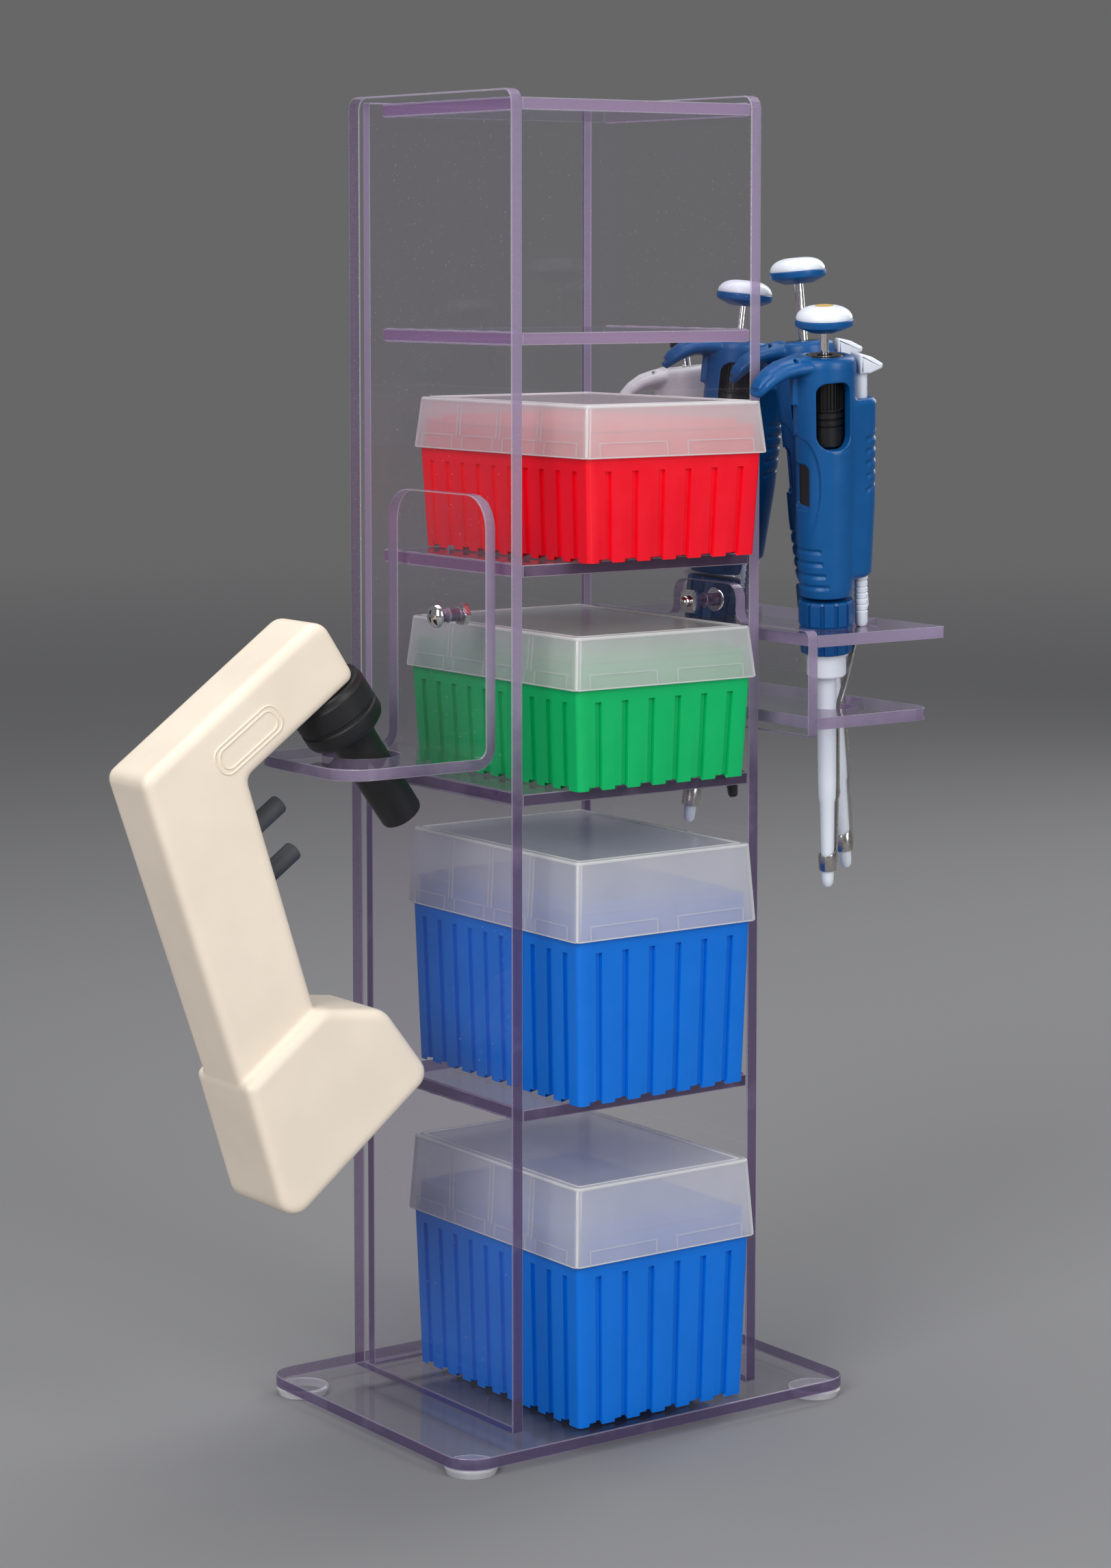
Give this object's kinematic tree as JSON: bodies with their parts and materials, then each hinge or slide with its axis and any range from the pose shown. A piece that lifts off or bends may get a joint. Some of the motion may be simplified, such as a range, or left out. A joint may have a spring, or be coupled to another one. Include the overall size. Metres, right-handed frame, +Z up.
{
  "type": "pipette set",
  "caption": "Clear bench tower of lidded tip boxes with a rack of hanging pipettes on one side and a pistol-grip pipette controller on the other.",
  "frame": {"origin": "on the bench under the middle of the set's footprint", "axes": "+Z up, -Y the open front of the tower, +X the side with the pipette rack"},
  "size_m": [0.3296, 0.1578, 0.5233],
  "materials": {
    "acrylic": "clear, lightly tinted",
    "clear_rubber": "clear, soft",
    "blue": "satin",
    "frosted": "frosted, see-through",
    "green": "satin",
    "red": "satin",
    "steel": "brushed",
    "ivory": "fine matt",
    "black": "satin",
    "dark_grey": "soft",
    "pipette_blue": "satin",
    "white": "satin",
    "grey": "satin"
  },
  "bodies": {
    "tower": {"base_plate": "acrylic", "foot_front_left": "clear_rubber", "foot_front_right": "clear_rubber", "foot_rear_left": "clear_rubber", "foot_rear_right": "clear_rubber", "side_panel_left": "acrylic", "side_panel_right": "acrylic", "back_panel": "acrylic", "shelf_1": "acrylic", "shelf_2": "acrylic", "shelf_3": "acrylic", "shelf_4": "acrylic", "shelf_5": "acrylic", "controller_bracket": "acrylic", "bracket_screw": "steel", "bracket_nut": "steel", "rack_plate": "acrylic", "rack_upper_plate": "acrylic", "rack_lower_plate": "acrylic", "rack_bolt": "steel", "rack_square_nut": "steel"},
    "blue_lower_box": {"blue_lower_tub": "blue", "blue_lower_deck": "blue"},
    "blue_lower_lid": {"blue_lower_lid": "frosted"},
    "blue_upper_box": {"blue_upper_tub": "blue", "blue_upper_deck": "blue"},
    "blue_upper_lid": {"blue_upper_lid": "frosted"},
    "green_box": {"green_tub": "green", "green_deck": "green"},
    "green_lid": {"green_lid": "frosted"},
    "red_box": {"red_tub": "red", "red_deck": "red"},
    "red_lid": {"red_lid": "frosted"},
    "controller": {"controller_body": "ivory", "controller_nosepiece": "black"},
    "aspirate_button": {"aspirate_button": "dark_grey"},
    "dispense_button": {"dispense_button": "dark_grey"},
    "pipette_1": {"pipette_1_handle": "pipette_blue", "pipette_1_barrel": "white"},
    "pipette_1_plunger": {"pipette_1_plunger": "white"},
    "pipette_1_ejector": {"pipette_1_ejector_button": "white", "pipette_1_ejector_strip": "steel"},
    "pipette_1_volume_knob": {"pipette_1_volume_knob": "black"},
    "pipette_2": {"pipette_2_handle": "pipette_blue", "pipette_2_barrel": "white"},
    "pipette_2_plunger": {"pipette_2_plunger": "white"},
    "pipette_2_ejector": {"pipette_2_ejector_button": "white", "pipette_2_ejector_strip": "steel"},
    "pipette_2_volume_knob": {"pipette_2_volume_knob": "black"},
    "pipette_3": {"pipette_3_handle": "pipette_blue", "pipette_3_barrel": "white"},
    "pipette_3_plunger": {"pipette_3_plunger": "white"},
    "pipette_3_ejector": {"pipette_3_ejector_button": "white", "pipette_3_ejector_strip": "steel"},
    "pipette_3_volume_knob": {"pipette_3_volume_knob": "black"},
    "pipette_4": {"pipette_4_handle": "grey", "pipette_4_barrel": "white"},
    "pipette_4_plunger": {"pipette_4_plunger": "black"},
    "pipette_4_ejector": {"pipette_4_ejector_button": "white", "pipette_4_ejector_strip": "steel"}
  },
  "joints": [
    {"name": "blue_lower_box_slide", "type": "slide", "parent": "tower", "child": "blue_lower_box", "axis": [0, -1, 0], "range_m": [0, 0.13]},
    {"name": "blue_lower_lid_lift", "type": "slide", "parent": "blue_lower_box", "child": "blue_lower_lid", "axis": [0, 0, 1], "range_m": [0, 0.018]},
    {"name": "blue_upper_box_slide", "type": "slide", "parent": "tower", "child": "blue_upper_box", "axis": [0, -1, 0], "range_m": [0, 0.13]},
    {"name": "blue_upper_lid_lift", "type": "slide", "parent": "blue_upper_box", "child": "blue_upper_lid", "axis": [0, 0, 1], "range_m": [0, 0.018]},
    {"name": "green_box_slide", "type": "slide", "parent": "tower", "child": "green_box", "axis": [0, -1, 0], "range_m": [0, 0.13]},
    {"name": "green_lid_lift", "type": "slide", "parent": "green_box", "child": "green_lid", "axis": [0, 0, 1], "range_m": [0, 0.018]},
    {"name": "red_box_slide", "type": "slide", "parent": "tower", "child": "red_box", "axis": [0, -1, 0], "range_m": [0, 0.13]},
    {"name": "red_lid_lift", "type": "slide", "parent": "red_box", "child": "red_lid", "axis": [0, 0, 1], "range_m": [0, 0.01]},
    {"name": "controller_lift", "type": "slide", "parent": "tower", "child": "controller", "axis": [-0.5793, 0, 0.8151], "range_m": [0, 0.09]},
    {"name": "aspirate_press", "type": "slide", "parent": "controller", "child": "aspirate_button", "axis": [-0.8151, 0, -0.5793], "range_m": [0, 0.006], "stiffness_N_per_m": 250, "springref_m": -0.001},
    {"name": "dispense_press", "type": "slide", "parent": "controller", "child": "dispense_button", "axis": [-0.8151, 0, -0.5793], "range_m": [0, 0.006], "stiffness_N_per_m": 250, "springref_m": -0.001},
    {"name": "pipette_1_lift", "type": "slide", "parent": "tower", "child": "pipette_1", "axis": [-0.0906, -0.0893, 0.9919], "range_m": [0, 0.108]},
    {"name": "pipette_1_plunge", "type": "slide", "parent": "pipette_1", "child": "pipette_1_plunger", "axis": [0.0906, 0.0893, -0.9919], "range_m": [0, 0.0085], "stiffness_N_per_m": 150, "springref_m": -0.002},
    {"name": "pipette_1_eject", "type": "slide", "parent": "pipette_1", "child": "pipette_1_ejector", "axis": [0.0906, 0.0893, -0.9919], "range_m": [0, 0.006], "stiffness_N_per_m": 300, "springref_m": -0.002},
    {"name": "pipette_1_volume_turn", "type": "hinge", "parent": "pipette_1", "child": "pipette_1_volume_knob", "pos_m": [0.11537, -0.06201, 0.39919], "axis": [-0.0906, -0.0893, 0.9919], "continuous": true},
    {"name": "pipette_2_lift", "type": "slide", "parent": "tower", "child": "pipette_2", "axis": [-0.0709, 0.0506, 0.9962], "range_m": [0, 0.108]},
    {"name": "pipette_2_plunge", "type": "slide", "parent": "pipette_2", "child": "pipette_2_plunger", "axis": [0.0709, -0.0506, -0.9962], "range_m": [0, 0.0225], "stiffness_N_per_m": 150, "springref_m": -0.002},
    {"name": "pipette_2_eject", "type": "slide", "parent": "pipette_2", "child": "pipette_2_ejector", "axis": [0.0709, -0.0506, -0.9962], "range_m": [0, 0.006], "stiffness_N_per_m": 300, "springref_m": -0.002},
    {"name": "pipette_2_volume_turn", "type": "hinge", "parent": "pipette_2", "child": "pipette_2_volume_knob", "pos_m": [0.13597, -0.02644, 0.40375], "axis": [-0.0709, 0.0506, 0.9962], "continuous": true},
    {"name": "pipette_3_lift", "type": "slide", "parent": "tower", "child": "pipette_3", "axis": [0.083, -0.0592, 0.9948], "range_m": [0, 0.108]},
    {"name": "pipette_3_plunge", "type": "slide", "parent": "pipette_3", "child": "pipette_3_plunger", "axis": [-0.083, 0.0592, -0.9948], "range_m": [0, 0.0133], "stiffness_N_per_m": 150, "springref_m": -0.002},
    {"name": "pipette_3_eject", "type": "slide", "parent": "pipette_3", "child": "pipette_3_ejector", "axis": [-0.083, 0.0592, -0.9948], "range_m": [0, 0.006], "stiffness_N_per_m": 300, "springref_m": -0.002},
    {"name": "pipette_3_volume_turn", "type": "hinge", "parent": "pipette_3", "child": "pipette_3_volume_knob", "pos_m": [0.12739, 0.01096, 0.40363], "axis": [0.083, -0.0592, 0.9948], "continuous": true},
    {"name": "pipette_4_lift", "type": "slide", "parent": "tower", "child": "pipette_4", "axis": [-0.0907, 0.0648, 0.9938], "range_m": [0, 0.108]},
    {"name": "pipette_4_plunge", "type": "slide", "parent": "pipette_4", "child": "pipette_4_plunger", "axis": [0.0907, -0.0648, -0.9938], "range_m": [0, 0.0055], "stiffness_N_per_m": 150, "springref_m": -0.002},
    {"name": "pipette_4_eject", "type": "slide", "parent": "pipette_4", "child": "pipette_4_ejector", "axis": [0.0907, -0.0648, -0.9938], "range_m": [0, 0.006], "stiffness_N_per_m": 300, "springref_m": -0.002}
  ]
}
